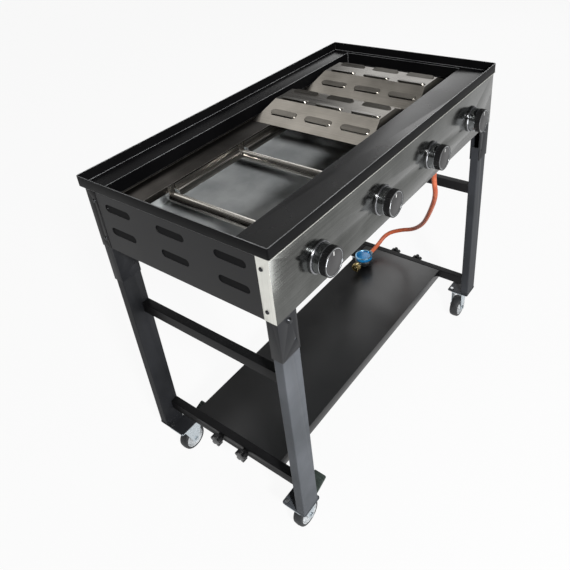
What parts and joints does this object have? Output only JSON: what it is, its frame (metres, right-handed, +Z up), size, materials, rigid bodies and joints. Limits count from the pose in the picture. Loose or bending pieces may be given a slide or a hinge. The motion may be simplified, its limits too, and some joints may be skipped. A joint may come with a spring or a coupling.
{
  "type": "gas grill station",
  "caption": "Gas grill station on swivel casters: open cooking well with burner tubes and flame tamers, control knobs, drip tray, box-section legs, shelf, hose and regulator.",
  "frame": {"origin": "centre of the object's box on the floor, without the hose and regulator", "axes": "+X to the user's right along the front panel, +Y from the user to the rear, +Z up"},
  "size_m": [1, 0.5686, 0.9],
  "materials": {
    "black_coat": "satin powder coat",
    "grey_coat": "satin powder coat",
    "brushed_steel": "brushed stainless",
    "galvanised_steel": "bright galvanised",
    "fastener_steel": "zinc plated",
    "zinc_plate": "zinc plated",
    "tyre_rubber": "grey-black rubber on a light hub",
    "pedal_plastic": "ribbed",
    "star_plastic": "matte",
    "knob_plastic": "matte with bright collar",
    "bezel_metal": "dark satin",
    "valve_brass": "machined",
    "pipe_steel": "plain pipe",
    "hose_rubber": "smooth orange",
    "regulator_zinc": "die-cast",
    "cap_blue": "gloss blue"
  },
  "bodies": {
    "station": {"top_frame": "black_coat", "front_panel": "brushed_steel", "left_side_panel": "grey_coat", "right_side_panel": "grey_coat", "rear_panel": "grey_coat", "panel_screws": "fastener_steel", "tray_runners": "galvanised_steel", "burner_1": "brushed_steel", "burner_2": "brushed_steel", "burner_3": "brushed_steel", "burner_4": "brushed_steel", "carryover_strips": "brushed_steel", "rear_burner_ledge": "brushed_steel", "front_firewall": "brushed_steel", "flame_tamer_left": "brushed_steel", "flame_tamer_right": "brushed_steel", "gas_manifold": "pipe_steel", "gas_valves": "valve_brass", "knob_bezels": "bezel_metal", "leg_front_left": "black_coat", "leg_front_right": "black_coat", "leg_rear_left": "black_coat", "leg_rear_right": "black_coat", "rail_upper_left": "black_coat", "rail_upper_right": "black_coat", "rail_lower_left": "black_coat", "rail_lower_right": "black_coat", "leg_brackets": "black_coat", "leg_bolts": "fastener_steel", "shelf": "black_coat", "shelf_weld_nuts": "fastener_steel", "caster_plates": "zinc_plate", "caster_bolts": "fastener_steel", "gas_hose": "hose_rubber", "regulator_body": "regulator_zinc", "regulator_cap": "cap_blue"},
    "drip_tray": {"drip_tray": "galvanised_steel"},
    "regulator_nut": {"regulator_nut": "valve_brass"},
    "valve_plug_1": {"valve_plug_1": "valve_brass"},
    "control_knob_1": {"control_knob_1": "knob_plastic"},
    "valve_plug_2": {"valve_plug_2": "valve_brass"},
    "control_knob_2": {"control_knob_2": "knob_plastic"},
    "valve_plug_3": {"valve_plug_3": "valve_brass"},
    "control_knob_3": {"control_knob_3": "knob_plastic"},
    "valve_plug_4": {"valve_plug_4": "valve_brass"},
    "control_knob_4": {"control_knob_4": "knob_plastic"},
    "swivel_front_left": {"caster_fork_front_left": "zinc_plate"},
    "wheel_front_left": {"caster_wheel_front_left": "tyre_rubber"},
    "brake_front_left": {"brake_pedal_front_left": "pedal_plastic"},
    "swivel_front_right": {"caster_fork_front_right": "zinc_plate"},
    "wheel_front_right": {"caster_wheel_front_right": "tyre_rubber"},
    "swivel_rear_left": {"caster_fork_rear_left": "zinc_plate"},
    "wheel_rear_left": {"caster_wheel_rear_left": "tyre_rubber"},
    "brake_rear_left": {"brake_pedal_rear_left": "pedal_plastic"},
    "swivel_rear_right": {"caster_fork_rear_right": "zinc_plate"},
    "wheel_rear_right": {"caster_wheel_rear_right": "tyre_rubber"},
    "star_knob_front_left": {"star_knob_front_left": "star_plastic"},
    "star_knob_front_right": {"star_knob_front_right": "star_plastic"},
    "star_knob_rear_left": {"star_knob_rear_left": "star_plastic"},
    "star_knob_rear_right": {"star_knob_rear_right": "star_plastic"}
  },
  "joints": [
    {"name": "valve_turn_1", "type": "hinge", "parent": "station", "child": "valve_plug_1", "pos_m": [-0.357, -0.2217, 0.79], "axis": [0, -1, 0], "range_deg": [0, 180]},
    {"name": "knob_push_1", "type": "slide", "parent": "valve_plug_1", "child": "control_knob_1", "axis": [0, 1, 0], "range_m": [0, 0.003], "stiffness_N_per_m": 600, "springref_m": -0.003},
    {"name": "valve_turn_2", "type": "hinge", "parent": "station", "child": "valve_plug_2", "pos_m": [-0.119, -0.2217, 0.79], "axis": [0, -1, 0], "range_deg": [0, 180]},
    {"name": "knob_push_2", "type": "slide", "parent": "valve_plug_2", "child": "control_knob_2", "axis": [0, 1, 0], "range_m": [0, 0.003], "stiffness_N_per_m": 600, "springref_m": -0.003},
    {"name": "valve_turn_3", "type": "hinge", "parent": "station", "child": "valve_plug_3", "pos_m": [0.119, -0.2217, 0.79], "axis": [0, -1, 0], "range_deg": [0, 180]},
    {"name": "knob_push_3", "type": "slide", "parent": "valve_plug_3", "child": "control_knob_3", "axis": [0, 1, 0], "range_m": [0, 0.003], "stiffness_N_per_m": 600, "springref_m": -0.003},
    {"name": "valve_turn_4", "type": "hinge", "parent": "station", "child": "valve_plug_4", "pos_m": [0.357, -0.2217, 0.79], "axis": [0, -1, 0], "range_deg": [0, 180]},
    {"name": "knob_push_4", "type": "slide", "parent": "valve_plug_4", "child": "control_knob_4", "axis": [0, 1, 0], "range_m": [0, 0.003], "stiffness_N_per_m": 600, "springref_m": -0.003},
    {"name": "caster_swivel_front_left", "type": "hinge", "parent": "station", "child": "swivel_front_left", "pos_m": [-0.466, -0.2077, 0.095], "axis": [0, 0, 1], "continuous": true},
    {"name": "wheel_spin_front_left", "type": "hinge", "parent": "swivel_front_left", "child": "wheel_front_left", "pos_m": [-0.45, -0.2077, 0.0375], "axis": [0, 1, 0], "continuous": true},
    {"name": "brake_press_front_left", "type": "hinge", "parent": "swivel_front_left", "child": "brake_front_left", "pos_m": [-0.43, -0.2077, 0.082], "axis": [0, 1, 0], "range_deg": [0, 18]},
    {"name": "caster_swivel_front_right", "type": "hinge", "parent": "station", "child": "swivel_front_right", "pos_m": [0.466, -0.2077, 0.095], "axis": [0, 0, 1], "continuous": true},
    {"name": "wheel_spin_front_right", "type": "hinge", "parent": "swivel_front_right", "child": "wheel_front_right", "pos_m": [0.45, -0.2077, 0.0375], "axis": [0, 1, 0], "continuous": true},
    {"name": "caster_swivel_rear_left", "type": "hinge", "parent": "station", "child": "swivel_rear_left", "pos_m": [-0.466, 0.2003, 0.095], "axis": [0, 0, 1], "continuous": true},
    {"name": "wheel_spin_rear_left", "type": "hinge", "parent": "swivel_rear_left", "child": "wheel_rear_left", "pos_m": [-0.45, 0.2003, 0.0375], "axis": [0, 1, 0], "continuous": true},
    {"name": "brake_press_rear_left", "type": "hinge", "parent": "swivel_rear_left", "child": "brake_rear_left", "pos_m": [-0.43, 0.2003, 0.082], "axis": [0, 1, 0], "range_deg": [0, 18]},
    {"name": "caster_swivel_rear_right", "type": "hinge", "parent": "station", "child": "swivel_rear_right", "pos_m": [0.466, 0.2003, 0.095], "axis": [0, 0, 1], "continuous": true},
    {"name": "wheel_spin_rear_right", "type": "hinge", "parent": "swivel_rear_right", "child": "wheel_rear_right", "pos_m": [0.45, 0.2003, 0.0375], "axis": [0, 1, 0], "continuous": true},
    {"name": "star_turn_front_left", "type": "hinge", "parent": "station", "child": "star_knob_front_left", "pos_m": [-0.46, -0.0367, 0.158], "axis": [-1, 0, 0], "continuous": true},
    {"name": "star_turn_front_right", "type": "hinge", "parent": "station", "child": "star_knob_front_right", "pos_m": [0.46, -0.0367, 0.158], "axis": [1, 0, 0], "continuous": true},
    {"name": "star_turn_rear_left", "type": "hinge", "parent": "station", "child": "star_knob_rear_left", "pos_m": [-0.46, 0.0493, 0.158], "axis": [-1, 0, 0], "continuous": true},
    {"name": "star_turn_rear_right", "type": "hinge", "parent": "station", "child": "star_knob_rear_right", "pos_m": [0.46, 0.0493, 0.158], "axis": [1, 0, 0], "continuous": true},
    {"name": "tray_slide", "type": "slide", "parent": "station", "child": "drip_tray", "axis": [0, 1, 0], "range_m": [0, 0.35]},
    {"name": "union_nut_turn", "type": "hinge", "parent": "station", "child": "regulator_nut", "pos_m": [0.29, 0.0993, 0.194], "axis": [1, 0, 0], "continuous": true}
  ]
}
